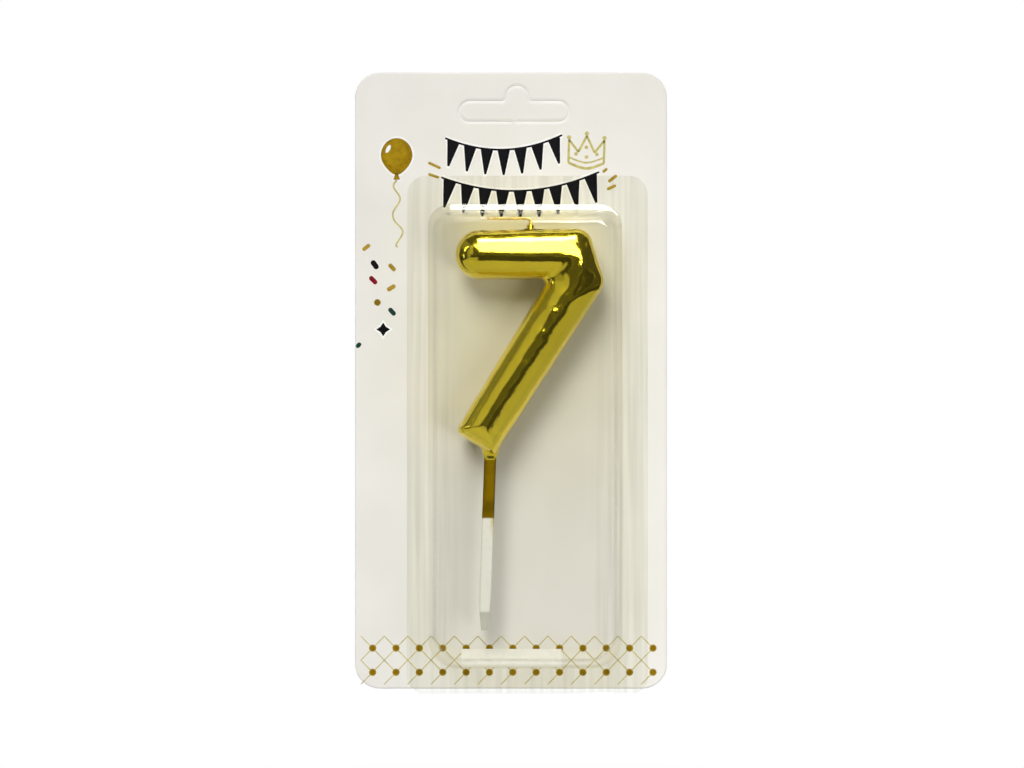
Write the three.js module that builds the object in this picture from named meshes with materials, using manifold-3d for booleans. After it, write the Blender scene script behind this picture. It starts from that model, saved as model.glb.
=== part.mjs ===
// A figure 7 cake candle in its hanging blister pack: a printed card with a hang slot, a clear
// thermoformed blister on its front, and the candle loose in the blister.
// Millimetres, +Z up as the pack hangs. The card lies in the XZ plane with its front towards -Y.
// The origin is where the pack hangs: the top of the slot's crown, on the card's back face.
import * as THREE from 'three';
import { mergeVertices } from 'three/addons/utils/BufferGeometryUtils.js';
import Module from 'manifold-3d';

const wasm = await Module();
wasm.setup();

const DEGREE = Math.PI / 180;

// Backing card
const cardWidth = 81;
const cardHeight = 160;
const cardThickness = 0.5;
const cardCornerRadius = 6.5;

// Hang slot: a straight bottom edge, two round-ended wings and a crown above them
const slotHeadroom = 3.3;
const slotMiddleX = 0.8;
const slotHalfLength = 14.3;
const slotWingHeight = 5.5;
const slotCrownShift = 0.8;
const slotCrownRadius = 3;
const slotCrownFillet = 1;

// Flap: the slot's blank, held by one uncut nick in its bottom edge
const flapCutWidth = 0.15;
const flapNickWidth = 0.9;
const flapNickX = -0.8;

// Figure 7, whose bar starts at the left and whose leg ends in a slanted foot
const barLength = 34.3;
const barStroke = 13.3;
const barEndDrop = 0.6;
const barEndFlat = 0.1;
const elbowReach = 4.5;
const elbowDrop = 14.4;
const legTopWidth = 15.1;
const footWidth = 10;
const heelDrop = 58.9;
const toeRise = 6.5;
const shoulderFillet = 3.9;
const elbowFillet = 5;
const heelFillet = 1.2;
const toeFillet = 1.6;
const crotchFillet = 0.9;
const candleThickness = 12.6;

// The crest line, where the figure's rounded faces meet. A share runs from one corner to the next.
const crestBarEndX = 6.5;
const crestBarShare = 0.556;
const crestShoulderGap = 6.1;
const crestElbowShare = { toElbow: 0.65, out: 0.475 };
const crestLegTop = { along: 0.079, across: 0.536 };
const crestLegFoot = { along: 0.88, across: 0.495 };

// Wick and the bore that it fills
const wickRadius = 0.45;
const wickClearance = 0.25;
const wickFromShoulder = 14.9;
const wickBendRadius = 1.1;
const wickRise = 2.45;
const wickLaidLength = 11.2;
const wickLegShare = 0.77;
const wickTurnRadius = 2.6;
const collarTopRadius = 0.95;
const collarFootRadius = 1.5;
const collarHeight = 0.8;
const collarDepth = 1;

// Pick, a flat stick with a barb in the wax and a blunt wedge point below
const pickWidth = 3.1;
const pickThickness = 1.7;
const pickLean = 2 * DEGREE;
const pickFromHeel = 2.5;
const pickFreeLength = 44.6;
const pickBuriedLength = 12.4;
const pickPointLength = 4.6;
const pickPointWidth = 1.5;
const pickPointThickness = 0.5;
const pickBarbWidth = 4.6;
const pickBarbLength = 4;
const pickBarbFromTop = 7;
const pickHeadWidth = 2.4;
const pickClearance = 0.25;

// Blister dome, measured at its foot from the candle
const domeGapLeft = 7.2;
const domeGapRight = 4.5;
const domeGapTop = 6.6;
const domeGapBottom = 10.5;
const domeWall = 0.3;
const domeDraft = 5 * DEGREE;
const domeEndLeanRatio = 1.4;
const domeFootRadius = 1.3;
const domeEdgeRadius = 2;
const domeTopCornerRadius = 6;
const domeBottomCornerRadius = 8;
const domeCornerLeanRatio = 0.6;
const candleBackGap = 1;
const candleFrontGap = 1.6;

// Blister flange, measured from the dome's foot and from the card's right and bottom edges
const flangeMarginLeft = 5.4;
const flangeMarginRight = 6.6;
const flangeMarginTop = 7.3;
const flangeMarginBottom = 6.5;
const flangeThickness = 0.3;
const flangeInset = 5;
const flangeOverhang = 1.2;
const flangeTopCornerRadius = 5;
const flangeBottomCornerRadius = 4.2;

// How finely round forms are faceted
const arcSteps = 8;
const profileSteps = 6;
const barSteps = 9;
const elbowSteps = 6;
const legSteps = 14;
const footSteps = 5;
const filletStepAngle = 11 * DEGREE;
const fewestFilletSteps = 2;
const wickSides = 8;
const wickSteps = 72;
const boreSteps = 48;

// Places about the card's middle that follow from those sizes
const slotBottomZ = cardHeight / 2 - slotHeadroom - slotCrownRadius - slotCrownFillet - slotWingHeight;
const hangX = slotMiddleX + slotCrownShift;
const hangZ = cardHeight / 2 - slotHeadroom;
const elbowX = barLength + elbowReach;
const wickX = barLength - wickFromShoulder;
const pickPointDrop = heelDrop + pickFreeLength;
const flangeRight = cardWidth / 2 - flangeInset;
const flangeBottom = -cardHeight / 2 - flangeOverhang;
const candleLeft = flangeRight - flangeMarginRight - domeGapRight - elbowX;
const candleTop = flangeBottom + flangeMarginBottom + domeGapBottom + pickPointDrop;
const candleMidPlane = cardThickness + candleBackGap + candleThickness / 2;
const domeDepth = candleBackGap + candleThickness + candleFrontGap + domeWall;
const dome = {
  left: candleLeft - domeGapLeft,
  right: flangeRight - flangeMarginRight,
  bottom: flangeBottom + flangeMarginBottom,
  top: candleTop + domeGapTop,
};
const flange = {
  left: dome.left - flangeMarginLeft,
  right: flangeRight,
  bottom: flangeBottom,
  top: dome.top + flangeMarginTop,
};

function finish(color, roughness, metalness, opacity = 1) {
  return new THREE.MeshStandardMaterial({ color, roughness, metalness, opacity, transparent: opacity < 1 });
}

const paperboard = () => finish(0xe7e4dc, 0.6, 0);
const clearPlastic = () => finish(0xe4e6da, 0.08, 0, 0.25);
const goldSkin = () => finish(0xc2ac2f, 0.22, 1);
const goldWick = () => finish(0xb89a22, 0.4, 1);
const whitePlastic = () => finish(0xd9d8c9, 0.45, 0);

function named(name, geometry, material) {
  const mesh = new THREE.Mesh(geometry, material);
  mesh.name = name;
  return mesh;
}

// Booleans work on geometry whose shared corners are merged and whose collapsed faces are gone.
function welded(geometry) {
  const bare = geometry.index ? geometry.toNonIndexed() : geometry.clone();
  bare.deleteAttribute('normal');
  bare.deleteAttribute('uv');
  const merged = mergeVertices(bare, 1e-4);
  const index = merged.index.array;
  const kept = [];
  for (let i = 0; i < index.length; i += 3) {
    const [a, b, c] = index.slice(i, i + 3);
    if (a !== b && b !== c && c !== a) kept.push(a, b, c);
  }
  merged.setIndex(kept);
  return merged;
}

function solid(geometry) {
  const merged = welded(geometry);
  return new wasm.Manifold(new wasm.Mesh({
    numProp: 3,
    vertProperties: new Float32Array(merged.attributes.position.array),
    triVerts: new Uint32Array(merged.index.array),
  }));
}

function geometryOf(body) {
  const mesh = body.getMesh();
  const geometry = new THREE.BufferGeometry();
  geometry.setAttribute('position', new THREE.BufferAttribute(mesh.vertProperties, 3));
  geometry.setIndex(new THREE.BufferAttribute(mesh.triVerts, 1));
  return geometry;
}

// A plate drawn in the card's plane, with its back face at Y = 0 and its thickness towards -Y.
function plate(shape, thickness) {
  const geometry = new THREE.ExtrudeGeometry(shape, {
    depth: thickness,
    bevelEnabled: false,
    curveSegments: arcSteps,
  });
  return geometry.rotateX(Math.PI / 2);
}

// Joins rings of points into a skin. Every ring has as many points as the first.
function skin(rings) {
  const positions = [];
  const index = [];
  const count = rings[0].length;
  for (const ring of rings) {
    for (const point of ring) positions.push(...point);
  }
  for (let r = 0; r < rings.length - 1; r += 1) {
    const here = r * count;
    const next = here + count;
    for (let i = 0; i < count; i += 1) {
      const j = (i + 1) % count;
      index.push(here + i, here + j, next + j, here + i, next + j, next + i);
    }
  }
  const geometry = new THREE.BufferGeometry();
  geometry.setAttribute('position', new THREE.Float32BufferAttribute(positions, 3));
  geometry.setIndex(index);
  return geometry;
}

// The slot's outline, drawn in by `inset` all round.
function traceSlot(path, inset) {
  const endRadius = slotWingHeight / 2;
  const endX = slotHalfLength - endRadius;
  const crownZ = slotBottomZ + slotWingHeight + slotCrownFillet;
  const filletX = slotCrownRadius + slotCrownFillet;
  const [left, right, endZ] = [slotMiddleX - endX, slotMiddleX + endX, slotBottomZ + endRadius];
  path.moveTo(left, slotBottomZ + inset);
  path.lineTo(right, slotBottomZ + inset);
  path.absarc(right, endZ, endRadius - inset, -Math.PI / 2, Math.PI / 2, false);
  path.absarc(hangX + filletX, crownZ, slotCrownFillet + inset, -Math.PI / 2, -Math.PI, true);
  path.absarc(hangX, crownZ, slotCrownRadius - inset, 0, Math.PI, false);
  path.absarc(hangX - filletX, crownZ, slotCrownFillet + inset, 0, -Math.PI / 2, true);
  path.absarc(left, endZ, endRadius - inset, Math.PI / 2, Math.PI * 1.5, false);
  return path;
}

function backingCard() {
  const x = cardWidth / 2 - cardCornerRadius;
  const z = cardHeight / 2 - cardCornerRadius;
  const outline = new THREE.Shape();
  outline.absarc(x, -z, cardCornerRadius, -Math.PI / 2, 0, false);
  outline.absarc(x, z, cardCornerRadius, 0, Math.PI / 2, false);
  outline.absarc(-x, z, cardCornerRadius, Math.PI / 2, Math.PI, false);
  outline.absarc(-x, -z, cardCornerRadius, Math.PI, Math.PI * 1.5, false);
  outline.holes.push(traceSlot(new THREE.Path(), 0));
  return named('backing_card', plate(outline, cardThickness), paperboard());
}

// The flap's nick reaches the slot's bottom edge, and the flap folds back about that edge.
function slotFlap() {
  const blank = solid(plate(traceSlot(new THREE.Shape(), flapCutWidth), cardThickness));
  const left = slotMiddleX + flapNickX - flapNickWidth / 2;
  const right = left + flapNickWidth;
  const top = slotBottomZ + 2 * flapCutWidth;
  const nickShape = new THREE.Shape();
  nickShape.moveTo(left, slotBottomZ);
  nickShape.lineTo(right, slotBottomZ);
  nickShape.lineTo(right, top);
  nickShape.lineTo(left, top);
  const nick = solid(plate(nickShape, cardThickness));
  return named('slot_flap', geometryOf(blank.add(nick)), paperboard());
}

// A rounded rectangle in the card's plane at depth y, as corner arcs of equal point count.
function roundedRing(edges, radii, y) {
  const corners = [
    [edges.right, edges.bottom, -1, 1, radii.bottom, -90],
    [edges.right, edges.top, -1, -1, radii.top, 0],
    [edges.left, edges.top, 1, -1, radii.top, 90],
    [edges.left, edges.bottom, 1, 1, radii.bottom, 180],
  ];
  const ring = [];
  for (const [x, z, inwardX, inwardZ, radius, startAngle] of corners) {
    for (let i = 0; i <= arcSteps; i += 1) {
      const angle = (startAngle + (90 * i) / arcSteps) * DEGREE;
      const pointX = x + inwardX * radius + radius * Math.cos(angle);
      const pointZ = z + inwardZ * radius + radius * Math.sin(angle);
      ring.push([pointX, y, pointZ]);
    }
  }
  return ring;
}

// The dome's outer profile from its foot to its face: how far in and how far out each point
// lies, and the profile's normal there.
function domeProfile() {
  const sweep = Math.PI / 2 - domeDraft;
  const radii = domeFootRadius + domeEdgeRadius;
  const wallHeight = domeDepth - flangeThickness - radii * (1 - Math.sin(domeDraft));
  const lean = radii * Math.cos(domeDraft) + wallHeight * Math.tan(domeDraft);
  const steps = profileSteps / 2;
  const profile = [];
  for (let i = 0; i <= steps; i += 1) {
    const angle = (sweep * i) / steps;
    profile.push({
      inset: domeFootRadius * Math.sin(angle),
      height: flangeThickness + domeFootRadius * (1 - Math.cos(angle)),
      normal: [-Math.sin(angle), Math.cos(angle)],
    });
  }
  for (let i = 0; i <= steps; i += 1) {
    const angle = sweep * (1 - i / steps);
    profile.push({
      inset: lean - domeEdgeRadius * Math.sin(angle),
      height: domeDepth - domeEdgeRadius * (1 - Math.cos(angle)),
      normal: [-Math.sin(angle), Math.cos(angle)],
    });
  }
  return profile;
}

function domeRing(inset, height) {
  const edges = {
    right: dome.right - inset,
    left: dome.left + inset,
    bottom: dome.bottom + inset * domeEndLeanRatio,
    top: dome.top - inset * domeEndLeanRatio,
  };
  const radii = {
    top: domeTopCornerRadius - inset * domeCornerLeanRatio,
    bottom: domeBottomCornerRadius - inset * domeCornerLeanRatio,
  };
  return roundedRing(edges, radii, -cardThickness - height);
}

function centreOf(ring) {
  const count = ring.length;
  const sum = ring.reduce((total, point) => total.map((value, axis) => value + point[axis]), [0, 0, 0]);
  return ring.map(() => sum.map((value) => value / count));
}

// One closed shell: from the middle of the dome's inside out to the flange's edge, round the
// edge, and over the outside back to the middle.
function blister() {
  const flangeRadii = { top: flangeTopCornerRadius, bottom: flangeBottomCornerRadius };
  const profile = domeProfile();
  const outside = profile.map(({ inset, height }) => domeRing(inset, height));
  const inside = profile.map(({ inset, height, normal }) => domeRing(
    inset - domeWall * normal[0],
    Math.max(height - domeWall * normal[1], 0),
  ));
  outside.unshift(roundedRing(flange, flangeRadii, -cardThickness - flangeThickness));
  inside.unshift(roundedRing(flange, flangeRadii, -cardThickness));
  outside.push(centreOf(outside.at(-1)));
  inside.push(centreOf(inside.at(-1)));
  return named('blister', welded(skin([...inside.reverse(), ...outside])), clearPlastic());
}

// Points of the figure lie right of and below the top left corner of its bar.
const figurePoint = (x, drop) => new THREE.Vector2(x, -drop);
const between = (from, to, share) => from.clone().lerp(to, share);

const shoulder = figurePoint(barLength, 0);
const elbow = figurePoint(elbowX, elbowDrop);
const heel = figurePoint(footWidth, heelDrop);
const toe = figurePoint(0, heelDrop - toeRise);
const crotch = figurePoint(elbowX - legTopWidth, barStroke);

function legPoint({ along, across }) {
  return between(between(crotch, toe, along), between(elbow, heel, along), across);
}

const crest = {
  barEnd: figurePoint(crestBarEndX, (barStroke + barEndDrop) / 2),
  elbowStart: figurePoint(barLength - crestShoulderGap, barStroke * crestBarShare),
  elbowMiddle: between(crotch, between(shoulder, elbow, crestElbowShare.toElbow), crestElbowShare.out),
  elbowEnd: legPoint(crestLegTop),
  foot: legPoint(crestLegFoot),
};

// The figure's corners in order: each one's fillet, the stretch of crest line that the edge
// after it climbs to, and at the crotch the stretch that its fillet climbs to.
function figureCorners() {
  const barEndFillet = (barStroke - barEndDrop - barEndFlat) / 2;
  const bar = [crest.barEnd, crest.elbowStart];
  const turn = [crest.elbowStart, crest.elbowMiddle, crest.elbowEnd];
  const leg = [crest.elbowEnd, crest.foot];
  const back = (stretch) => [...stretch].reverse();
  const still = (point) => [point, point];
  return [
    { at: figurePoint(0, barEndDrop), fillet: barEndFillet, climb: bar, steps: barSteps },
    { at: shoulder, fillet: shoulderFillet, climb: turn, steps: elbowSteps },
    { at: elbow, fillet: elbowFillet, climb: leg, steps: legSteps },
    { at: heel, fillet: heelFillet, climb: still(crest.foot), steps: footSteps },
    { at: toe, fillet: toeFillet, climb: back(leg), steps: legSteps },
    { at: crotch, fillet: crotchFillet, filletClimb: back(turn), climb: back(bar), steps: barSteps },
    { at: figurePoint(0, barStroke), fillet: barEndFillet, climb: still(crest.barEnd), steps: 1 },
  ];
}

function alongStretch(stretch, share) {
  const reach = share * (stretch.length - 1);
  const i = Math.min(Math.floor(reach), stretch.length - 2);
  return between(stretch[i], stretch[i + 1], reach - i);
}

// Where a corner's fillet starts and ends on its two edges, and the middle that it turns round.
function filletAt(before, corner, after) {
  const back = before.at.clone().sub(corner.at).normalize();
  const on = after.at.clone().sub(corner.at).normalize();
  const half = Math.acos(back.dot(on)) / 2;
  const reach = corner.fillet / Math.tan(half);
  const bisector = back.clone().add(on).normalize();
  return {
    start: corner.at.clone().addScaledVector(back, reach),
    end: corner.at.clone().addScaledVector(on, reach),
    middle: corner.at.clone().addScaledVector(bisector, corner.fillet / Math.sin(half)),
  };
}

// The outline and, for each of its points, the crest point that it climbs to. The crotch's
// fillet climbs to the elbow's whole stretch of crest and every other fillet to one point, so
// both sides of the figure meet on the same crest points.
function figureOutline() {
  const corners = figureCorners();
  const count = corners.length;
  const fillets = corners.map((corner, i) => (
    filletAt(corners[(i + count - 1) % count], corner, corners[(i + 1) % count])));
  const outline = [];
  corners.forEach((corner, i) => {
    const { start, end, middle } = fillets[i];
    const from = start.clone().sub(middle);
    const to = end.clone().sub(middle);
    const turn = Math.atan2(from.cross(to), from.dot(to));
    const turnSteps = Math.max(fewestFilletSteps, Math.ceil(Math.abs(turn) / filletStepAngle));
    const steps = corner.filletClimb ? elbowSteps : turnSteps;
    const filletClimb = corner.filletClimb ?? [corner.climb[0], corner.climb[0]];
    for (let step = 0; step < steps; step += 1) {
      const share = step / steps;
      const at = from.clone().rotateAround(new THREE.Vector2(), turn * share).add(middle);
      outline.push({ at, climb: alongStretch(filletClimb, share) });
    }
    const next = fillets[(i + 1) % count].start;
    for (let step = 0; step < corner.steps; step += 1) {
      const share = step / corner.steps;
      outline.push({ at: between(end, next, share), climb: alongStretch(corner.climb, share) });
    }
  });
  return outline;
}

// One ring of the figure: at angle 0 it is the outline, and at a right angle the crest.
function figureRing(outline, angle, side) {
  const depth = side * (candleThickness / 2) * Math.sin(angle);
  return outline.map(({ at, climb }) => {
    const point = between(at, climb, 1 - Math.cos(angle));
    return [point.x, depth, point.y];
  });
}

// Front crest, front faces, outline, back faces, back crest: the crests close on themselves.
function figure() {
  const outline = figureOutline();
  const rings = [];
  for (let i = -profileSteps; i <= profileSteps; i += 1) {
    const angle = (Math.PI / 2) * (Math.abs(i) / profileSteps);
    rings.push(figureRing(outline, angle, Math.sign(i)));
  }
  return skin(rings);
}

// The wick's run inside the wax: up the leg, round the elbow, along the bar and up at its exit.
// A bore starts `startGap` before the wick does.
function buriedWick(startGap) {
  const at = ({ x, y }) => new THREE.Vector3(x, 0, y);
  const foot = between(crest.elbowEnd, crest.foot, wickLegShare);
  const along = crest.elbowEnd.clone().sub(foot).normalize();
  const turn = new THREE.Vector2(wickX, crest.elbowStart.y);
  const turnStart = turn.clone().add(new THREE.Vector2(wickTurnRadius, 0));
  const turnEnd = turn.clone().add(new THREE.Vector2(0, wickTurnRadius));
  const exit = new THREE.Vector2(wickX, wickRise - wickBendRadius);
  const path = new THREE.CurvePath();
  path.add(new THREE.LineCurve3(at(foot.addScaledVector(along, -startGap)), at(crest.elbowEnd)));
  path.add(new THREE.QuadraticBezierCurve3(
    at(crest.elbowEnd), at(crest.elbowMiddle), at(crest.elbowStart)));
  path.add(new THREE.LineCurve3(at(crest.elbowStart), at(turnStart)));
  path.add(new THREE.QuadraticBezierCurve3(at(turnStart), at(turn), at(turnEnd)));
  path.add(new THREE.LineCurve3(at(turnEnd), at(exit)));
  return path;
}

function wickTube(path, radius, steps) {
  const section = new THREE.Shape();
  for (let i = 0; i < wickSides; i += 1) {
    const angle = (2 * Math.PI * i) / wickSides;
    section[i ? 'lineTo' : 'moveTo'](radius * Math.cos(angle), radius * Math.sin(angle));
  }
  return new THREE.ExtrudeGeometry(section, { steps, bevelEnabled: false, extrudePath: path });
}

// Above the wax the wick is folded over to the left under the blister's top wall.
function wick() {
  const path = buriedWick(0);
  const at = (x, z) => new THREE.Vector3(x, 0, z);
  const bendStart = at(wickX, wickRise - wickBendRadius);
  const bendEnd = at(wickX - wickBendRadius, wickRise);
  path.add(new THREE.QuadraticBezierCurve3(bendStart, at(wickX, wickRise), bendEnd));
  path.add(new THREE.LineCurve3(bendEnd, at(wickX - wickLaidLength, wickRise)));
  return named('wick', welded(wickTube(path, wickRadius, wickSteps)), goldWick());
}

// A flat bar along +Z as rectangular sections [height, width, thickness].
function lofted(sections) {
  const rings = sections.map(([z, width, thickness]) => [
    [-width / 2, -thickness / 2, z],
    [width / 2, -thickness / 2, z],
    [width / 2, thickness / 2, z],
    [-width / 2, thickness / 2, z],
  ]);
  const closing = (ring) => ring.map(() => [0, 0, ring[0][2]]);
  return skin([closing(rings[0]), ...rings, closing(rings.at(-1))]);
}

// The pick's sections from its point up, grown all round for its socket in the wax.
function pickSections(grow) {
  const section = (z, width, thickness) => [z, width + 2 * grow, thickness + 2 * grow];
  const length = pickFreeLength + pickBuriedLength;
  const barb = length - pickBarbFromTop;
  return [
    section(-grow, pickPointWidth, pickPointThickness),
    section(pickPointLength, pickWidth, pickThickness),
    section(barb - pickBarbLength, pickWidth, pickThickness),
    section(barb - pickBarbLength / 2, pickBarbWidth, pickThickness),
    section(barb, pickWidth, pickThickness),
    section(length + grow, pickHeadWidth, pickThickness),
  ];
}

function placePick(object) {
  object.position.set(footWidth - pickFromHeel, 0, -pickPointDrop);
  object.rotation.y = pickLean;
  object.updateMatrix();
  return object;
}

function pick() {
  return placePick(named('pick', welded(lofted(pickSections(0))), whitePlastic()));
}

function candleBody() {
  const collar = new THREE.CylinderGeometry(
    collarTopRadius, collarFootRadius, collarHeight + collarDepth, 2 * arcSteps);
  collar.rotateX(Math.PI / 2);
  collar.translate(wickX, 0, (collarHeight - collarDepth) / 2);
  const socket = lofted(pickSections(pickClearance));
  socket.applyMatrix4(placePick(new THREE.Object3D()).matrix);
  const bore = wickTube(buriedWick(wickClearance), wickRadius + wickClearance, boreSteps);
  const body = solid(figure())
    .add(solid(collar))
    .subtract(solid(socket))
    .subtract(solid(bore));
  return named('candle_body', geometryOf(body), goldSkin());
}

function candle() {
  const group = new THREE.Group();
  group.add(candleBody(), wick(), pick());
  group.position.set(candleLeft, -candleMidPlane, candleTop);
  return group;
}

const contents = new THREE.Group();
contents.add(backingCard(), slotFlap(), blister(), candle());
contents.position.set(-hangX, 0, -hangZ);

const pack = new THREE.Group();
pack.add(contents);

export default pack;
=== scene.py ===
import math

import bmesh
import bpy
from mathutils import Matrix, Vector, noise


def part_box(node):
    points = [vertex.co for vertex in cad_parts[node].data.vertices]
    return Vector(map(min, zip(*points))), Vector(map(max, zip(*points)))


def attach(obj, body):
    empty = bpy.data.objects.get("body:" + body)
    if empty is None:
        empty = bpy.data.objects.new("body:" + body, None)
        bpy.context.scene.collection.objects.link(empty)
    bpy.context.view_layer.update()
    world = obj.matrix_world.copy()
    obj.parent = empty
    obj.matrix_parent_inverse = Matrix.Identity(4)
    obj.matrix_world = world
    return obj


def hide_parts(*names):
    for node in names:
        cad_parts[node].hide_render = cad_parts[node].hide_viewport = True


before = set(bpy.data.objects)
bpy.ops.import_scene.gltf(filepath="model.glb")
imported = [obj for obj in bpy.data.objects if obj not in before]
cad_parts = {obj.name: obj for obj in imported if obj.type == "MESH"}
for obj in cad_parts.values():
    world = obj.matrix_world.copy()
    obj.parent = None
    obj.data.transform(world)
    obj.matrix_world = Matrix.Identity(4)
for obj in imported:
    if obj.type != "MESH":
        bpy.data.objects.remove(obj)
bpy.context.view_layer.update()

# Camera: level with the middle of the pack and square to the card, far enough away that the
# blister's side walls open up only a little.
camera_distance = 0.8
camera_aim = Vector((-0.00134, 0, -0.07758))
card_width_in_view = 0.2662
sensor_width = 36

camera = bpy.data.objects.new("camera", bpy.data.cameras.new("camera"))
bpy.context.scene.collection.objects.link(camera)
camera.data.sensor_width = sensor_width
camera.data.lens = sensor_width * camera_distance / card_width_in_view
camera.location = camera_aim - Vector((0, camera_distance, 0))
camera.rotation_euler = (math.radians(90), 0, 0)
bpy.context.scene.camera = camera


# Backing card: white folding board, clay-coated and printed on its front and plain grey behind,
# stamped out with one die that also rounds its corners and cuts the hang slot.
MM = 0.001
board_thickness = 0.5
card_front = -board_thickness * MM
board_low, board_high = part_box("backing_card")
card_left, card_top = board_low.x, board_high.z


def tone(red, green, blue):
    """A colour as it looks on a screen, 0 to 255, as the shader's own light values."""
    lit = []
    for value in (red, green, blue):
        share = value / 255
        lit.append(share / 12.92 if share <= 0.04045 else ((share + 0.055) / 1.055) ** 2.4)
    return (*lit, 1)


def finish(name):
    """A new material with its node tree and its Principled shader."""
    material = bpy.data.materials.new(name)
    material.use_nodes = True
    tree = material.node_tree
    return material, tree, tree.nodes["Principled BSDF"]


def fill(tree, made, **settings):
    """Fills a node's inputs, or its own settings, by their names, from values or sockets."""
    for name, value in settings.items():
        socket = made.inputs.get(name.replace("_", " "))
        if socket is None:
            setattr(made, name, value)
        elif isinstance(value, bpy.types.NodeSocket):
            tree.links.new(value, socket)
        else:
            socket.default_value = value
    return made


def node(tree, kind, **settings):
    """A new shader node of a kind, with its inputs filled."""
    return fill(tree, tree.nodes.new("ShaderNode" + kind), **settings)


def between(tree, share, first, second):
    """A colour that goes from first to second as share goes from 0 to 1."""
    made = tree.nodes.new("ShaderNodeMix")
    made.data_type = "RGBA"
    for index, value in ((0, share), (6, first), (7, second)):
        if isinstance(value, bpy.types.NodeSocket):
            tree.links.new(value, made.inputs[index])
        else:
            made.inputs[index].default_value = value
    return made.outputs[2]


def spread(tree, value, low, high, to_low, to_high):
    """A value spread from one range to another, and held at its ends."""
    made = node(tree, "MapRange", Value=value)
    for name, end in zip(("From Min", "From Max", "To Min", "To Max"), (low, high, to_low, to_high)):
        made.inputs[name].default_value = end
    return made.outputs[0]


def grain(tree, where, scale, detail=2.0):
    """Noise of a given number of waves to the metre."""
    return node(tree, "TexNoise", Vector=where, Scale=scale, Detail=detail).outputs["Fac"]


def relief(tree, shader, height, depth):
    """Bumps of a given depth in metres on a shader's surface."""
    bump = node(tree, "Bump", Height=height, Distance=depth, Strength=1.0)
    fill(tree, shader, Normal=bump.outputs["Normal"])


board, tree, shader = finish("printed_card")
where = node(tree, "TexCoord").outputs["Object"]
mottle = grain(tree, where, 45)
fibre = grain(tree, where, 1500, 3.0)
coated = between(tree, spread(tree, mottle, 0.3, 0.7, 0, 1), tone(235, 232, 225), tone(229, 226, 218))
grey_back = between(tree, spread(tree, fibre, 0.3, 0.7, 0, 1), tone(196, 193, 186), tone(178, 175, 168))
depth_in = node(tree, "SeparateXYZ", Vector=where).outputs["Y"]
behind = spread(tree, depth_in, -0.12 * MM, -0.02 * MM, 0, 1)
fill(tree, shader, Base_Color=between(tree, behind, coated, grey_back),
     Roughness=spread(tree, fibre, 0.3, 0.7, 0.46, 0.6), Specular_IOR_Level=0.12)
relief(tree, shader, fibre, 0.012 * MM)


def from_mesh(name, mesh):
    """A new object in the scene, made from a bmesh."""
    data = bpy.data.meshes.new(name)
    mesh.to_mesh(data)
    mesh.free()
    made = bpy.data.objects.new(name, data)
    bpy.context.scene.collection.objects.link(made)
    return made


def show(name, mesh, materials, body, instead_of=None):
    """Turns a bmesh into a piece that rides on a body, and may take the place of a CAD node."""
    piece = from_mesh(name, mesh)
    for material in materials:
        piece.data.materials.append(material)
    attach(piece, body)
    if instead_of:
        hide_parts(instead_of)
    return piece


def skin(mesh, loops, smooth=True):
    """Bands of faces over a row of loops of vertices, from each loop to the next."""
    for near, far in zip(loops, loops[1:]):
        for i in range(len(near)):
            j = (i + 1) % len(near)
            mesh.faces.new((near[i], near[j], far[j], far[i])).smooth = smooth


def arc(right, up, radius, first, last, steps):
    """Points on an arc, both ends included, with angles in degrees."""
    turns = [math.radians(first + (last - first) * step / steps) for step in range(steps + 1)]
    return [Vector((right + radius * math.cos(turn), up + radius * math.sin(turn))) for turn in turns]


# The hang slot's outline: two round-ended wings under a crown, whose top is the frame's origin
wing_middle, wing_half, wing_height, slot_height = -0.8, 14.3, 5.5, 9.5
crown_radius, crown_fillet = 3.0, 1.0
nick_width = 0.9


def slot_outline():
    """The slot's outline in millimetres, rightward along its foot and back over the crown."""
    end, wing_top = wing_height / 2, wing_height - slot_height
    left, right = wing_middle - wing_half, wing_middle + wing_half
    corner = crown_radius + crown_fillet
    step = (wing_half * 2 - wing_height) / 60
    foot = [Vector((left + end + i * step, -slot_height)) for i in range(1, 60)]
    return [
        *foot,
        *arc(right - end, -slot_height + end, end, -90, 90, 24),
        *arc(corner, wing_top + crown_fillet, crown_fillet, -90, -180, 8),
        *arc(0, -crown_radius, crown_radius, 0, 180, 32)[1:-1],
        *arc(-corner, wing_top + crown_fillet, crown_fillet, 0, -90, 8),
        *arc(left + end, -slot_height + end, end, 90, 270, 24),
    ]


def beside(outline, reach):
    """An outline moved outward by a reach in millimetres, or inward by a negative one."""
    moved = []
    for i, point in enumerate(outline):
        along = (outline[(i + 1) % len(outline)] - outline[i - 1]).normalized()
        moved.append(point + Vector((along.y, -along.x)) * reach)
    return moved


def lay(mesh, points, depths):
    """Vertices at points of the card's plane, each at its depth in front of the back face."""
    spots = [Vector((point.x, -depth, point.y)) for point, depth in zip(points, depths)]
    return [mesh.verts.new(spot * MM) for spot in spots]


# The die presses both rims of the cut down, except at the nick
pressed_width, pressed_depth, beside_pressed = 0.7, 0.2, 0.25
pressed_shares = (1, 0.75, 0.5, 0.25, 0)
slot_line = slot_outline()


def pressed(point, share):
    """The front's height above the card's back, beside the cut: share 1 is at the cut itself."""
    at_nick = point.y < -slot_height + 1 and abs(point.x - wing_middle) < nick_width / 2 + 0.1
    eased = share * share * (3 - 2 * share)
    return board_thickness - (0 if at_nick else pressed_depth * eased)


# The cut edge all round the card: how far inside its outline, at each depth from its back
card_corner = 6.5
edge_profile = [
    (0.05, 0), (0, 0.05), (0, 0.34), (0.1, 0.46), (0.26, board_thickness), (0.5, board_thickness),
]


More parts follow.
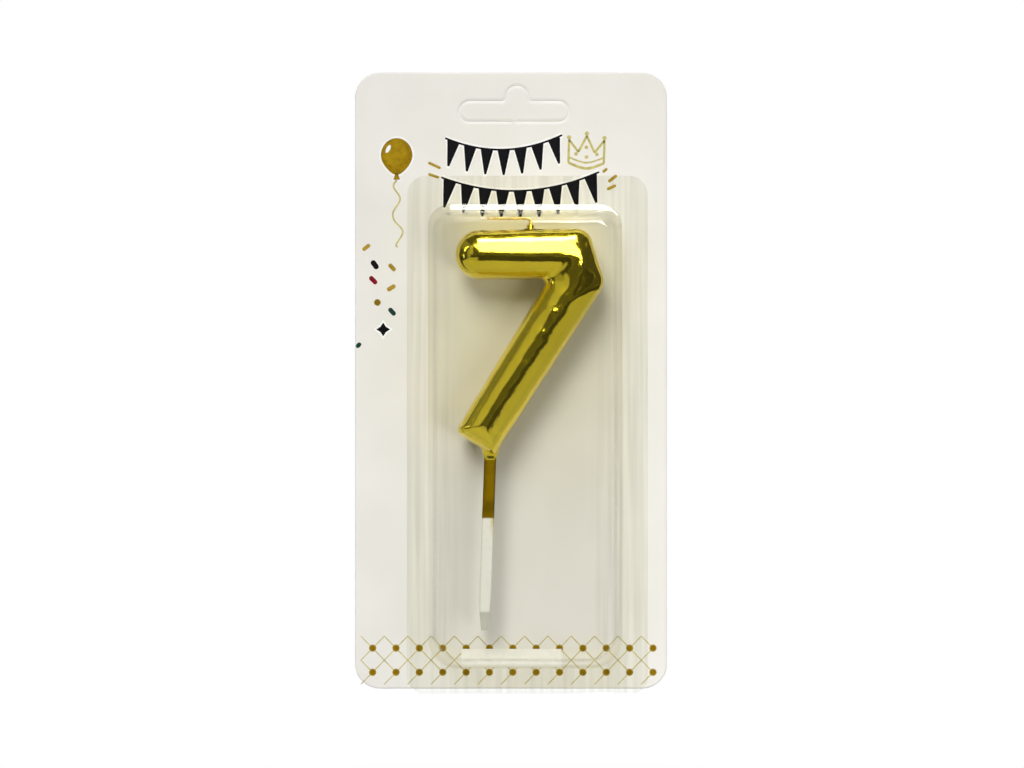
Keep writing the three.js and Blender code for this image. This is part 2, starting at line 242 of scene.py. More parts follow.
def card_outline(inset):
    """The card's rounded outline, moved inward."""
    left, right = board_low.x / MM + inset, board_high.x / MM - inset
    foot, head = board_low.z / MM + inset, board_high.z / MM - inset
    radius = card_corner - inset
    return [
        *arc(right - radius, foot + radius, radius, -90, 0, 18),
        *arc(right - radius, head - radius, radius, 0, 90, 18),
        *arc(left + radius, head - radius, radius, 90, 180, 18),
        *arc(left + radius, foot + radius, radius, 180, 270, 18),
    ]


def level(points, depth):
    """One depth for all of the points."""
    return [depth] * len(points)


mesh = bmesh.new()
rims = [lay(mesh, slot_line, level(slot_line, 0))]
for share in pressed_shares:
    ring = beside(slot_line, pressed_width * (1 - share))
    rims.append(lay(mesh, ring, [pressed(point, share) for point in slot_line]))
ring = beside(slot_line, pressed_width + beside_pressed)
rims.append(lay(mesh, ring, level(ring, board_thickness)))
edges = []
for inset, depth in edge_profile:
    ring = card_outline(inset)
    edges.append(lay(mesh, ring, level(ring, depth)))
for loops in (rims, edges):
    skin(mesh, loops)


def filled(mesh, *loops):
    """Flat faces inside one loop, or between an outline and the hole in it."""
    bounds = [mesh.edges.get((loop[i - 1], loop[i])) for loop in loops for i in range(len(loop))]
    bmesh.ops.triangle_fill(mesh, edges=bounds, use_beauty=True)


for end in (0, -1):
    filled(mesh, rims[end], edges[end])
bmesh.ops.recalc_face_normals(mesh, faces=mesh.faces)
show("die_cut_card", mesh, [board], "card", "backing_card")


# Slot flap: the blank that the die leaves in the hang slot, held by one uncut nick. Its rim is
# pressed down all round like the card's, and it folds back on the nick.
cut_width, nick_overlap = 0.15, 0.02


def capped(mesh, loops, smooth=True):
    """A closed skin over a row of loops, with a flat face on either end, turned outward."""
    skin(mesh, loops, smooth)
    for loop in (loops[0], loops[-1]):
        mesh.faces.new(loop)
    bmesh.ops.recalc_face_normals(mesh, faces=mesh.faces)


mesh = bmesh.new()
loops = [lay(mesh, beside(slot_line, -cut_width), level(slot_line, 0))]
for share in pressed_shares:
    ring = beside(slot_line, -cut_width - pressed_width * (1 - share))
    loops.append(lay(mesh, ring, [pressed(point, share) for point in slot_line]))
ring = beside(slot_line, -cut_width - pressed_width - beside_pressed)
loops.append(lay(mesh, ring, level(ring, board_thickness)))
skin(mesh, loops)
for end in (0, -1):
    filled(mesh, loops[end])
nick_left, nick_right = wing_middle - nick_width / 2, wing_middle + nick_width / 2
nick_foot, nick_head = -slot_height - nick_overlap, -slot_height + cut_width + nick_overlap
nick = [
    Vector((nick_left, nick_foot)), Vector((nick_right, nick_foot)),
    Vector((nick_right, nick_head)), Vector((nick_left, nick_head)),
]
nick_faces = (0.02, board_thickness - 0.01)
capped(mesh, [lay(mesh, nick, level(nick, depth)) for depth in nick_faces], smooth=False)
show("hang_slot_flap", mesh, [board], "flap", "slot_flap")


# Card print: flat inks on the coated front, laid in layers, with the white outlines under the
# colours they edge. Places are in millimetres right of and down from the card's top left corner.
def ink(name, red, green, blue, uneven=0.86):
    """An ink with a slightly uneven film."""
    material, tree, shader = finish(name)
    where = node(tree, "TexCoord").outputs["Object"]
    film = spread(tree, grain(tree, where, 900, 3.0), 0.35, 0.65, 0, 1)
    deep = tone(red * uneven, green * uneven, blue * uneven)
    fill(tree, shader, Base_Color=between(tree, film, tone(red, green, blue), deep),
         Roughness=spread(tree, film, 0, 1, 0.36, 0.52), Specular_IOR_Level=0.03)
    relief(tree, shader, film, 0.002 * MM)
    return material


ink_tones = {
    "white_ink": (248, 247, 242, 0.97),
    "black_ink": (14, 13, 16),
    "gold_ink": (178, 148, 48),
    "pale_gold_ink": (208, 197, 122),
    "balloon_ink": (158, 124, 6),
    "balloon_light_ink": (170, 137, 14),
    "dot_ink": (142, 112, 14),
    "red_ink": (138, 22, 34),
    "green_ink": (30, 66, 52),
}
inks = {name: ink(name, *shades) for name, shades in ink_tones.items()}
layer_step = 0.008


def on_card(right, down, layer):
    """A point on the card's front, on a given layer of ink."""
    return Vector((card_left + right * MM, card_front - layer * layer_step * MM, card_top - down * MM))


def printed(name, outlines, ink_name, layer):
    """One ink's flat areas: each outline is a list of points right of and down from the corner."""
    mesh = bmesh.new()
    for outline in outlines:
        mesh.faces.new([mesh.verts.new(on_card(right, down, layer)) for right, down in outline])
    bmesh.ops.recalc_face_normals(mesh, faces=mesh.faces)
    show(name, mesh, [inks[ink_name]], "card")


def smooth_line(points, steps=8):
    """Points along a smooth curve through the given ones."""
    ends = [points[0], *points, points[-1]]
    line = []
    for i in range(1, len(ends) - 2):
        before, start, end, after = (Vector(point) for point in ends[i - 1:i + 3])
        for step in range(steps):
            share = step / steps
            square = (2 * before - 5 * start + 4 * end - after) * share * share
            cube = (3 * start - before - 3 * end + after) * share ** 3
            line.append(0.5 * (2 * start + (end - before) * share + square + cube))
    return [*line, Vector(points[-1])]


def brushed(line, width, taper=0.0):
    """The outline of a stroke along a line, thinner towards both ends by the share in taper."""
    left, right = [], []
    for i, point in enumerate(line):
        along = (line[min(i + 1, len(line) - 1)] - line[max(i - 1, 0)]).normalized()
        side = Vector((-along.y, along.x))
        share = math.sin(math.pi * i / (len(line) - 1))
        half = width / 2 * (1 - taper * (1 - share))
        left.append(point + side * half)
        right.append(point - side * half)
    return [tuple(point) for point in left + right[::-1]]


def oval(right, down, wide, high, turn=0.0, steps=24):
    """The outline of an oval turned by some degrees."""
    spin = Matrix.Rotation(math.radians(turn), 2)
    ring = []
    for step in range(steps):
        angle = 2 * math.pi * step / steps
        offset = spin @ Vector((math.cos(angle) * wide / 2, math.sin(angle) * high / 2))
        ring.append((right + offset.x, down + offset.y))
    return ring


# Balloon with a string, at the card's left
balloon_right, balloon_down = 10.8, 21.5
balloon_half_width, balloon_half_height, neck_in, neck_down = 4.1, 4.5, 0.22, 0.12


def balloon_outline(grow):
    """A balloon drawn round at the top and pointed at its neck, grown all round."""
    ring = []
    for step in range(40):
        angle = 2 * math.pi * step / 40
        neck = max(0, math.sin(angle)) ** 2
        wide = (balloon_half_width + grow) * math.cos(angle) * (1 - neck_in * neck)
        high = (balloon_half_height + grow) * math.sin(angle) * (1 + neck_down * neck)
        ring.append((balloon_right + wide, balloon_down + high))
    return ring


def knot(grow):
    """The tied neck under the balloon."""
    top, foot = balloon_down + 4.7, balloon_down + 6.3 + grow
    return [(balloon_right - 0.3, top), (balloon_right + 0.3, top),
            (balloon_right + 0.9 + grow, foot), (balloon_right - 0.9 - grow, foot)]


string_line = smooth_line([
    (10.8, 27.9), (10.0, 29.7), (11.7, 32.8), (9.9, 36.2),
    (10.2, 38.4), (12.4, 41.3), (10.7, 44.6), (11.1, 45.3),
])
printed("balloon_outline", [balloon_outline(0.5), knot(0.35)], "white_ink", 1)
printed("balloon", [balloon_outline(0), knot(0)], "balloon_ink", 2)
glow = oval(balloon_right - 0.5, balloon_down - 0.6, 6.0, 6.8, 20)
printed("balloon_glow", [glow], "balloon_light_ink", 3)
shine = oval(balloon_right - 2.2, balloon_down - 1.7, 1.0, 2.3, 28)
printed("balloon_shine", [shine], "white_ink", 4)
printed("balloon_string", [brushed(string_line, 0.42)], "pale_gold_ink", 1)


# Confetti under the balloon: short dashes, a dot and a four-pointed spark
def dash(right, down, length, width, turn):
    """A short stroke with round ends, turned by some degrees."""
    along = Matrix.Rotation(math.radians(turn), 2) @ Vector((1, 0))
    side = Vector((-along.y, along.x))
    ring = []
    for end in (1, -1):
        for step in range(9):
            angle = math.pi * (step / 8 - 0.5)
            offset = (along * math.cos(angle) + side * math.sin(angle)) * width / 2 * end
            ring.append(tuple(Vector((right, down)) + along * end * (length - width) / 2 + offset))
    return ring


def spark(right, down, size, waist):
    """A four-pointed spark: its points are size apart, and its waist is a share of that."""
    ring = []
    for step in range(8):
        reach = size / 2 * (1 if step % 2 == 0 else waist)
        angle = math.pi * step / 4
        ring.append((right + reach * math.cos(angle), down + reach * math.sin(angle)))
    return ring


dashes = {
    "gold": [(2.9, 45.4, 2.4, 1.0, -38), (9.6, 50.6, 2.4, 1.1, 48), (9.4, 55.9, 2.5, 1.1, -32)],
    "black": [(5.1, 49.9, 2.6, 1.4, 55)],
    "red": [(4.7, 53.9, 2.6, 1.2, 46)],
    "green": [(9.6, 62.1, 2.4, 1.2, 48), (0.9, 70.8, 1.6, 1.1, -45)],
}
for colour, strokes in dashes.items():
    printed(f"confetti_{colour}", [dash(*stroke) for stroke in strokes], f"{colour}_ink", 2)
printed("confetti_dot", [oval(5.8, 59.7, 1.7, 1.7)], "dot_ink", 2)
printed("confetti_spark_outline", [spark(7.3, 66.7, 5.0, 0.62)], "white_ink", 1)
printed("confetti_spark", [spark(7.3, 66.7, 3.6, 0.55)], "black_ink", 2)


# Bunting: two garlands of black pennants with a white outline, above the candle
def hung(ends, sag, share):
    """A point of a cord that sags between two ends."""
    return Vector(ends[0]).lerp(Vector(ends[1]), share) + Vector((0, sag * 4 * share * (1 - share)))


def garland(ends, sag, count, drop, width, grow):
    """Pennants hung along a sagging cord between two ends."""
    flags = []
    for i in range(count):
        share = (i + 0.5) / count
        spin = Matrix.Rotation(math.radians((2 * share - 1) * -pennant_lean), 2)
        half, foot = width / 2 + grow, drop + grow
        flag = [(-half, -grow), (half, -grow), (half * point_share, foot), (-half * point_share, foot)]
        flags.append([tuple(hung(ends, sag, share) + spin @ Vector(corner)) for corner in flag])
    return flags


pennant_lean, point_share, outline_width = 14, 0.16, 0.55
garlands = [
    ([(23.4, 17.0), (53.8, 16.2)], 3.4, 7, 6.6, 3.3),
    ([(22.4, 27.2), (63.4, 25.8)], 4.2, 9, 7.2, 3.5),
]
for number, (ends, sag, count, drop, width) in enumerate(garlands, 1):
    cord = [hung(ends, sag, step / 24) for step in range(25)]
    flag_rims = garland(ends, sag, count, drop, width, outline_width)
    printed(f"bunting_{number}_outline", [brushed(cord, 1.5)], "white_ink", 1)
    printed(f"bunting_{number}_flag_outlines", flag_rims, "white_ink", 2)
    printed(f"bunting_{number}_cord", [brushed(cord, 0.5)], "black_ink", 3)
    printed(f"bunting_{number}_flags", garland(ends, sag, count, drop, width, 0), "black_ink", 4)

# Gold crown and short rays beside the bunting
crown_points = [
    (55.4, 23.4), (55.6, 17.4), (58.0, 20.6), (60.2, 16.4), (62.2, 20.8), (64.8, 17.6), (64.6, 23.6),
]
crown_sides = zip(crown_points, crown_points[1:])
crown_lines = [brushed([Vector(start), Vector(end)], 0.6) for start, end in crown_sides]
crown_lines.append(brushed(smooth_line([(55.4, 23.4), (60.0, 24.9), (64.6, 23.6)]), 0.7))
crown_lines.append(brushed(smooth_line([(55.6, 22.0), (60.0, 23.4), (64.5, 22.2)]), 0.45))
printed("crown_lines", crown_lines, "pale_gold_ink", 1)
crown_dots = [oval(right, down - 0.6, 1.1, 1.1) for right, down in crown_points[1:-1:2]]
jewels = ((57.4, 21.1), (60.1, 21.9), (62.8, 21.2), (60.1, 19.4))
crown_dots += [oval(right, down, 0.95, 0.95) for right, down in jewels]
printed("crown_dots", crown_dots, "pale_gold_ink", 2)
rays = [
    dash(20.6, 24.1, 3.6, 0.7, 25), dash(20.4, 26.8, 3.0, 0.7, 18),
    dash(64.9, 25.4, 1.6, 0.7, -40), dash(66.9, 27.5, 2.8, 0.8, -38), dash(66.6, 29.8, 2.6, 0.8, -25),
]
printed("rays", rays, "gold_ink", 2)

# Diamond lattice with a dot at every second crossing, along the card's foot
lattice_pitch, lattice_rise, lattice_stroke, lattice_margin = 6.07, 6.27, 0.26, 0.6
dot_size, dot_rim_size, first_dot, dot_count, upper_row = 1.4, 1.9, 4.55, 13, 149.5
dot_rows = [upper_row, upper_row + lattice_rise]
last_end = (board_high.x - board_low.x) / MM - lattice_margin
lattice_lines = []
for i in range(-1, dot_count):
    for slope in (1, -1):
        for row in range(4):
            top = upper_row + (row - 1) * lattice_rise / 2
            start = first_dot + (i + (0.5 if row % 2 == 0 else 0)) * lattice_pitch
            stop = start + slope * lattice_pitch / 2
            open_foot = row == 3 and slope == 1
            if not open_foot and min(start, stop) > lattice_margin and max(start, stop) < last_end:
                ends = [Vector((start, top)), Vector((stop, top + lattice_rise / 2))]
                lattice_lines.append(brushed(ends, lattice_stroke))
printed("lattice", lattice_lines, "pale_gold_ink", 1)
dots = [(first_dot + i * lattice_pitch, row) for i in range(dot_count) for row in dot_rows]
for name, size, colour, layer in (("dot_rims", dot_rim_size, "gold", 2), ("dots", dot_size, "dot", 3)):
    ovals = [oval(right, down, size, size, steps=16) for right, down in dots]
    printed(f"lattice_{name}", ovals, f"{colour}_ink", layer)
plate = [(27.6, 149.7), (53.6, 149.7), (53.6, 154.5), (27.6, 154.5)]
printed("bare_plate", [plate], "white_ink", 4)


# Candle: solid wax cast in the shape of a foil balloon 7, then coated with a bright gold metal
# film. The cast skin is a little wavy, with small dents and a raised collar where the wick leaves.
bar_length, bar_stroke, bar_end_drop, bar_end_flat = 34.3, 13.3, 0.6, 0.1
elbow_reach, elbow_drop, leg_top_width = 4.5, 14.4, 15.1
foot_width, heel_drop, toe_rise = 10, 58.9, 6.5
shoulder_fillet, elbow_fillet, heel_fillet, toe_fillet, crotch_fillet = 4.4, 5, 1.2, 1.6, 1.1
candle_thickness = 12.6
candle_place = Vector((-16.0, -7.8, -37.4)) * MM


def figure_point(right, drop):
    """A point of the 7's plane, right of and down from the top left of its bar."""
    return Vector((right, -drop))


elbow_x = bar_length + elbow_reach
shoulder = figure_point(bar_length, 0)
elbow = figure_point(elbow_x, elbow_drop)
heel = figure_point(foot_width, heel_drop)
toe = figure_point(0, heel_drop - toe_rise)
crotch = figure_point(elbow_x - leg_top_width, bar_stroke)


def leg_point(along, across):
    """A point of the leg, by its shares of the way down and of the way across."""
    return crotch.lerp(toe, along).lerp(elbow.lerp(heel, along), across)


# The crest, where the rounded faces meet, runs along the bar, round the elbow and down the leg
crest_drop = bar_stroke * 0.556
crest_bar_end = figure_point(6.5, (bar_stroke + bar_end_drop) / 2)
crest_elbow_start = figure_point(bar_length - 5.4, crest_drop)
crest_elbow_middle = figure_point(bar_length + 1.4, crest_drop)
crest_elbow_end = leg_point(0.13, 0.53)
crest_foot = leg_point(0.88, 0.495)


def along_stretch(stretch, share):
    """The point at a share of the way along a stretch of points."""
    reach = share * (len(stretch) - 1)
    i = min(int(reach), len(stretch) - 2)
    return stretch[i].lerp(stretch[i + 1], reach - i)


turn_steps, bar_steps, shoulder_steps, leg_steps, heel_steps = 48, 80, 24, 140, 40


def elbow_bend():
    """The crest's turn at the elbow, as points on a smooth curve."""
    bend = []
    for step in range(turn_steps + 1):
        share = step / turn_steps
        first = crest_elbow_start.lerp(crest_elbow_middle, share)
        bend.append(first.lerp(crest_elbow_middle.lerp(crest_elbow_end, share), share))
    return bend


def bar_crest():
    """The bar's crest, as points, the last ones closer for the turn of the shoulder."""
    stop = crest_bar_end.lerp(crest_elbow_start, 0.8)
    shares = [step / shoulder_steps for step in range(shoulder_steps + 1)]
    far = [crest_bar_end.lerp(stop, step / bar_steps) for step in range(bar_steps)]
    return far + [stop.lerp(crest_elbow_start, share) for share in shares]


def figure_outline():
    """The 7's outline with the crest point that each of its points climbs to.

    Each corner has its place and fillet, the stretch of crest beside the side that follows it, that
    side's steps, and the stretch of crest beside its own fillet."""
    fillet = (bar_stroke - bar_end_drop - bar_end_flat) / 2
    bar = bar_crest()
    turn = elbow_bend()
    leg = [crest_elbow_end, crest_foot]
    corners = [
        (figure_point(0, bar_end_drop), fillet, bar[:bar_steps + 1], bar_steps, None),
        (shoulder, shoulder_fillet, turn, turn_steps, bar[bar_steps:]),
        (elbow, elbow_fillet, leg, leg_steps, None),
        (heel, heel_fillet, [crest_foot] * 2, heel_steps, None),
        (toe, toe_fillet, leg[::-1], leg_steps, None),
        (crotch, crotch_fillet, bar[::-1], bar_steps + shoulder_steps, turn[::-1]),
        (figure_point(0, bar_stroke), fillet, [crest_bar_end] * 2, 1, None),
    ]
    fillets = []
    for i, (at, radius, *_) in enumerate(corners):
        back = (corners[i - 1][0] - at).normalized()
        on = (corners[(i + 1) % len(corners)][0] - at).normalized()
        half = back.angle(on) / 2
        reach = radius / math.tan(half)
        middle = at + (back + on).normalized() * radius / math.sin(half)
        fillets.append((at + back * reach, at + on * reach, middle))
    outline = []
    for i, (at, radius, climb, steps, fillet_climb) in enumerate(corners):
        start, end, middle = fillets[i]
        sweep = (start - middle).angle_signed(end - middle)
        fillet_steps = max(6, round(abs(sweep) / math.radians(4)))
        if fillet_climb:
            fillet_steps = len(fillet_climb) - 1
        for step in range(fillet_steps):
            share = step / fillet_steps
            place = middle + Matrix.Rotation(-sweep * share, 2) @ (start - middle)
            outline.append((place, along_stretch(fillet_climb or [climb[0]] * 2, share)))
        following = fillets[(i + 1) % len(corners)][0]
        for step in range(steps):
            share = step / steps
            outline.append((end.lerp(following, share), along_stretch(climb, share)))
    return outline


def in_pack(place, depth):
    """A point of the candle, given right and up on its mid-plane and forward of it."""
    return candle_place + Vector((place.x, -depth, place.y)) * MM


ring_steps = 34
outline = figure_outline()
mesh = bmesh.new()
rings = []
for i in range(-ring_steps, ring_steps + 1):
    angle = math.pi / 2 * abs(i) / ring_steps
    depth = candle_thickness / 2 * math.sin(angle) * (1 if i > 0 else -1)
    share = 1 - math.cos(angle)
    rings.append([mesh.verts.new(in_pack(at.lerp(crest, share), depth)) for at, crest in outline])
skin(mesh, rings)
bmesh.ops.remove_doubles(mesh, verts=mesh.verts, dist=0.002 * MM)
bmesh.ops.recalc_face_normals(mesh, faces=mesh.faces)
smoothing_rounds = 6
every_way = {"use_axis_x": True, "use_axis_y": True, "use_axis_z": True}
for _ in range(smoothing_rounds):
    bmesh.ops.smooth_vert(mesh, verts=mesh.verts, factor=0.5, **every_way)
mesh.normal_update()

# The cast skin swells and puckers. Each bump or dent on it has its place right and down on the
# front of the 7, its reach and its height.
swell_closeness, swell_height, skin_share = 0.16, 0.16, 0.55
pucker_closeness, pucker_height, pucker_shift = 0.42, 0.05, Vector((7, 3, 5))
dents = [
    (32.2, 9.8, 0.45, 0.45), (24.6, 21.4, 1.2, 0.3), (22.0, 26.9, 1.2, 0.28), (27.2, 14.6, 1.6, -0.4),
    (2.9, 3.4, 0.8, 0.45), (4.3, 4.9, 0.9, 0.35), (1.9, 51.3, 0.6, 0.5), (17.2, 35.5, 1.9, 0.1),
]
for vert in mesh.verts:
    place = (vert.co - candle_place) / MM
    wave = noise.noise(place * swell_closeness) * swell_height
    wave += noise.noise(place * pucker_closeness + pucker_shift) * pucker_height
    for right, down, reach, lift in dents:
        if place.y < 0:
            gap = Vector((place.x - right, place.z + down)).length
            wave += lift * math.exp(-(gap / reach) ** 2)
    vert.co += vert.normal * wave * skin_share * MM

# The collar's radius at each height over the bar's top
wick_from_shoulder, collar_sides = 14.9, 24
wick_x = bar_length - wick_from_shoulder
collar = [
    (2.4, -0.5), (1.7, -0.2), (1.15, -0.02), (0.95, 0.12),
    (1.02, 0.32), (1.0, 0.56), (0.84, 0.76), (0.5, 0.86),
]
loops = []
for radius, height in collar:
    loop = []
    for step in range(collar_sides):
        angle = 2 * math.pi * step / collar_sides
        offset = Vector((radius * math.cos(angle), radius * math.sin(angle), height))
        loop.append(mesh.verts.new(candle_place + (Vector((wick_x, 0, 0)) + offset) * MM))
    loops.append(loop)
skin(mesh, loops)
mesh.faces.new(loops[-1]).smooth = True


def sum_of(tree, operation, *values, clamp=False):
    """The result of a Math node on values and sockets."""
    made = tree.nodes.new("ShaderNodeMath")
    made.operation = operation
    made.use_clamp = clamp
    for socket, value in zip(made.inputs, values):
        if isinstance(value, bpy.types.NodeSocket):
            tree.links.new(value, socket)
        else:
            socket.default_value = value
    return made.outputs[0]


gold_wax, tree, shader = finish("gold_wax")
where = node(tree, "TexCoord").outputs["Object"]
cloud = grain(tree, where, 130, 3.0)
ripple = grain(tree, where, 420, 2.0)
speck = grain(tree, where, 2600, 2.0)
film = between(tree, spread(tree, cloud, 0.3, 0.7, 0, 1), tone(236, 215, 44), tone(230, 208, 38))
fill(tree, shader, Base_Color=film, Metallic=1, Coat_Weight=0.9, Coat_Roughness=0.09,
     Roughness=spread(tree, speck, 0.3, 0.7, 0.09, 0.15))
height = sum_of(tree, "MULTIPLY_ADD", speck, 0.06, ripple)
relief(tree, shader, height, 0.05 * MM)
show("gold_figure", mesh, [gold_wax], "candle", "candle_body")


# Wick: three cotton strands twisted together and coated in gold, cast into the wax. Its free end
# is folded over to the left, flat under the blister's top wall.
wick_rise, wick_bend, wick_laid, wick_turn = 2.45, 1.1, 11.2, 2.6
wick_radius, strand_radius, twist_pitch = 0.45, 0.24, 2.4


def curve_through(start, pull, end, steps=10):
    """Points on a quadratic curve, its end left out."""
    line = []
    for step in range(steps):
        share = step / steps
        line.append(start.lerp(pull, share).lerp(pull.lerp(end, share), share))
    return line


wick_foot = crest_elbow_end.lerp(crest_foot, 0.77)
wick_elbow = [
    figure_point(bar_length - 6.1, crest_drop),
    crotch.lerp(shoulder.lerp(elbow, 0.65), 0.475),
    leg_point(0.079, 0.536),
]
turn_middle = Vector((wick_x, wick_elbow[0].y))
turn_start, turn_end = turn_middle + Vector((wick_turn, 0)), turn_middle + Vector((0, wick_turn))
bend_middle = Vector((wick_x, wick_rise))
bend_start, bend_end = bend_middle - Vector((0, wick_bend)), bend_middle - Vector((wick_bend, 0))
wick_line = [
    wick_foot,
    *curve_through(*wick_elbow[::-1]),
    wick_elbow[0],
    *curve_through(turn_start, turn_middle, turn_end),
    turn_end,
    *curve_through(bend_start, bend_middle, bend_end),
    bend_end,
    Vector((wick_x - wick_laid, wick_rise)),
]


def even_steps(line, step):
    """Points a fixed step apart along a line."""
    placed = [line[0].copy()]
    for corner in line[1:]:
        while (corner - placed[-1]).length > step:
            placed.append(placed[-1] + (corner - placed[-1]).normalized() * step)
    return placed


twist_step, strand_count, strand_sides, strand_swell = 0.22, 3, 8, 0.12
centre = even_steps(wick_line, twist_step)
mesh = bmesh.new()
for strand in range(strand_count):
    loops = []
    for i, point in enumerate(centre):
        along = (centre[min(i + 1, len(centre) - 1)] - centre[max(i - 1, 0)]).normalized()
        across = Vector((-along.y, along.x))
        angle = 2 * math.pi * (i * twist_step / twist_pitch + strand / strand_count)
        reach = wick_radius - strand_radius
        radius = strand_radius * (1 + strand_swell * noise.noise(Vector((i * 0.4, strand * 9, 0))))
        middle = point + across * math.cos(angle) * reach
        depth = math.sin(angle) * reach
        loop = []
        for side in range(strand_sides):
            turn = 2 * math.pi * side / strand_sides
            place = middle + across * math.cos(turn) * radius
            loop.append(mesh.verts.new(in_pack(place, depth + math.sin(turn) * radius)))
        loops.append(loop)
    capped(mesh, loops)
for face in mesh.faces:
    face.smooth = True

gold_wick, tree, shader = finish("gold_wick")
where = node(tree, "TexCoord").outputs["Object"]
fuzz = grain(tree, where, 950, 3.0)
coat = between(tree, spread(tree, fuzz, 0.35, 0.7, 0, 1), tone(238, 214, 92), tone(104, 86, 28))
dull = spread(tree, fuzz, 0.3, 0.7, 0.25, 0.5)
fill(tree, shader, Base_Color=coat, Metallic=0.85, Roughness=dull)
relief(tree, shader, fuzz, 0.05 * MM)
show("twisted_wick", mesh, [gold_wick], "candle", "wick")


# Pick: one flat injection-moulded stick in white plastic, pushed into the wax before the candle is
# metallised, so the gold ends sharply below the figure with overspray down its right edge. Its
# point is a short bevel that runs out into a thin blade, and a bead of wax seals it at the foot.
pick_width, pick_thickness, pick_corner, pick_lean = 3.1, 1.7, 0.45, math.radians(2)
pick_point = Vector((-8.5, -140.9))
pick_up = Vector((math.sin(pick_lean), math.cos(pick_lean)))
pick_sideways = Vector((pick_up.y, -pick_up.x))
corner_steps = 5


def pick_section(mesh, up, width, thickness, corner):
    """A rounded flat section of the pick, at a height above its point."""
    loop = []
    half_wide, half_deep = width / 2 - corner, thickness / 2 - corner
    for side, front, first in ((1, 1, 0), (-1, 1, 90), (-1, -1, 180), (1, -1, 270)):
        for step in range(corner_steps + 1):
            turn = math.radians(first + 90 / corner_steps * step)
            across = side * half_wide + corner * math.cos(turn)
            depth = front * half_deep + corner * math.sin(turn)
            at = pick_point + pick_up * up + pick_sideways * across
            loop.append(mesh.verts.new(Vector((at.x, candle_place.y / MM - depth, at.y)) * MM))
    return loop


# The blade, the bevel over it and the stick: height over the point, width, thickness and corner
mesh = bmesh.new()
sections = [
    (0.0, 1.35, 0.42, 0.15), (0.12, 1.55, 0.5, 0.18), (2.2, 2.1, 0.5, 0.2), (2.45, 2.15, 0.58, 0.22),
    (4.3, 2.62, 1.5, 0.34), (4.55, 2.7, 1.66, 0.36), (4.9, 2.8, pick_thickness, pick_corner),
]
stick_rows = (9, 14, 19, 22, 24, 27, 31, 36, 41, 47, 52, 56)
sections += [(up, pick_width, pick_thickness, pick_corner) for up in stick_rows]
capped(mesh, [pick_section(mesh, *section) for section in sections])

pick_plastic, tree, shader = finish("pick_plastic")
where = node(tree, "TexCoord").outputs["Object"]
split = node(tree, "SeparateXYZ", Vector=where)
mist = grain(tree, where, 1300, 3.0)
slope = math.tan(pick_lean)
middle_at = (pick_point.x - pick_point.y * slope) * MM
axis_x = sum_of(tree, "MULTIPLY_ADD", split.outputs["Z"], slope, middle_at)
off_axis = sum_of(tree, "SUBTRACT", split.outputs["X"], axis_x)
gold_end, blade_end, blade_start = -112.1 * MM, -136.4 * MM, -135.9 * MM
above_end = sum_of(tree, "SUBTRACT", split.outputs["Z"], gold_end)
sharp_end = spread(tree, above_end, -0.25 * MM, 0.25 * MM, 0, 1)
side_mist = spread(tree, off_axis, 0.3 * MM, 1.4 * MM, 0, 1)
fading = spread(tree, above_end, -7.5 * MM, 0, 0, 1)
overspray = sum_of(tree, "MULTIPLY", side_mist, sum_of(tree, "MULTIPLY", fading, fading))
speckled = sum_of(tree, "MULTIPLY", overspray, spread(tree, mist, 0.3, 0.7, 0.4, 1.3), clamp=True)
blotch = grain(tree, where, 260, 2.0)
solid = between(tree, spread(tree, mist, 0.3, 0.7, 0, 1), tone(238, 237, 226), tone(230, 229, 217))
# The bevel and the blade are darker than the stick: painted shade, as they face down, away from the
# light.
painted_point_shade = spread(tree, split.outputs["Z"], blade_end, blade_start, 1, 0)
bare_and_point_shade = between(tree, painted_point_shade, solid, tone(206, 205, 190))
gold = between(tree, spread(tree, blotch, 0.3, 0.7, 0, 1), tone(138, 110, 5), tone(104, 82, 3))
misted = between(tree, speckled, bare_and_point_shade, tone(196, 178, 60))
fill(tree, shader, Base_Color=between(tree, sharp_end, misted, gold), Metallic=sharp_end,
     Roughness=spread(tree, mist, 0.3, 0.7, 0.34, 0.46))
relief(tree, shader, blotch, 0.0006 * MM)
show("moulded_pick", mesh, [pick_plastic], "candle", "pick")

# The bead of wax narrows from the foot of the 7 to the stick: height, width and thickness
mesh = bmesh.new()
bead = [
    (47.2, 5.4, 3.8), (46.3, 4.5, 2.75), (45.4, 3.8, 2.2),
    (44.7, 3.5, 1.98), (44.2, 3.3, 1.88), (43.8, 3.15, 1.8),
]
capped(mesh, [pick_section(mesh, up, wide, deep, deep / 2 - 0.1) for up, wide, deep in bead])
show("wax_bead", mesh, [gold_wax], "candle")


# Blister: a shell drawn by vacuum from clear, faintly green-yellow sheet and heat-sealed to the
# card all round its flange. Its walls lean, and its face has the faint waves of the drawing.
flange_left, flange_right, flange_bottom, flange_top = -28.6, 33.9, -157.9, -23.5
dome_left, dome_right, dome_bottom, dome_top = -23.2, 27.3, -151.4, -30.8
flange_front, dome_front = -0.8, -16.0
sheet_wall, seal_gap = 0.25, 0.05
sealed_at = -board_thickness - seal_gap
flange_low_radius, flange_high_radius, dome_low_radius, dome_high_radius = 4.2, 5, 8, 6
draft = math.radians(5)
foot_radius, edge_radius, end_lean_ratio, corner_lean_ratio = 1.3, 2.0, 1.4, 0.6


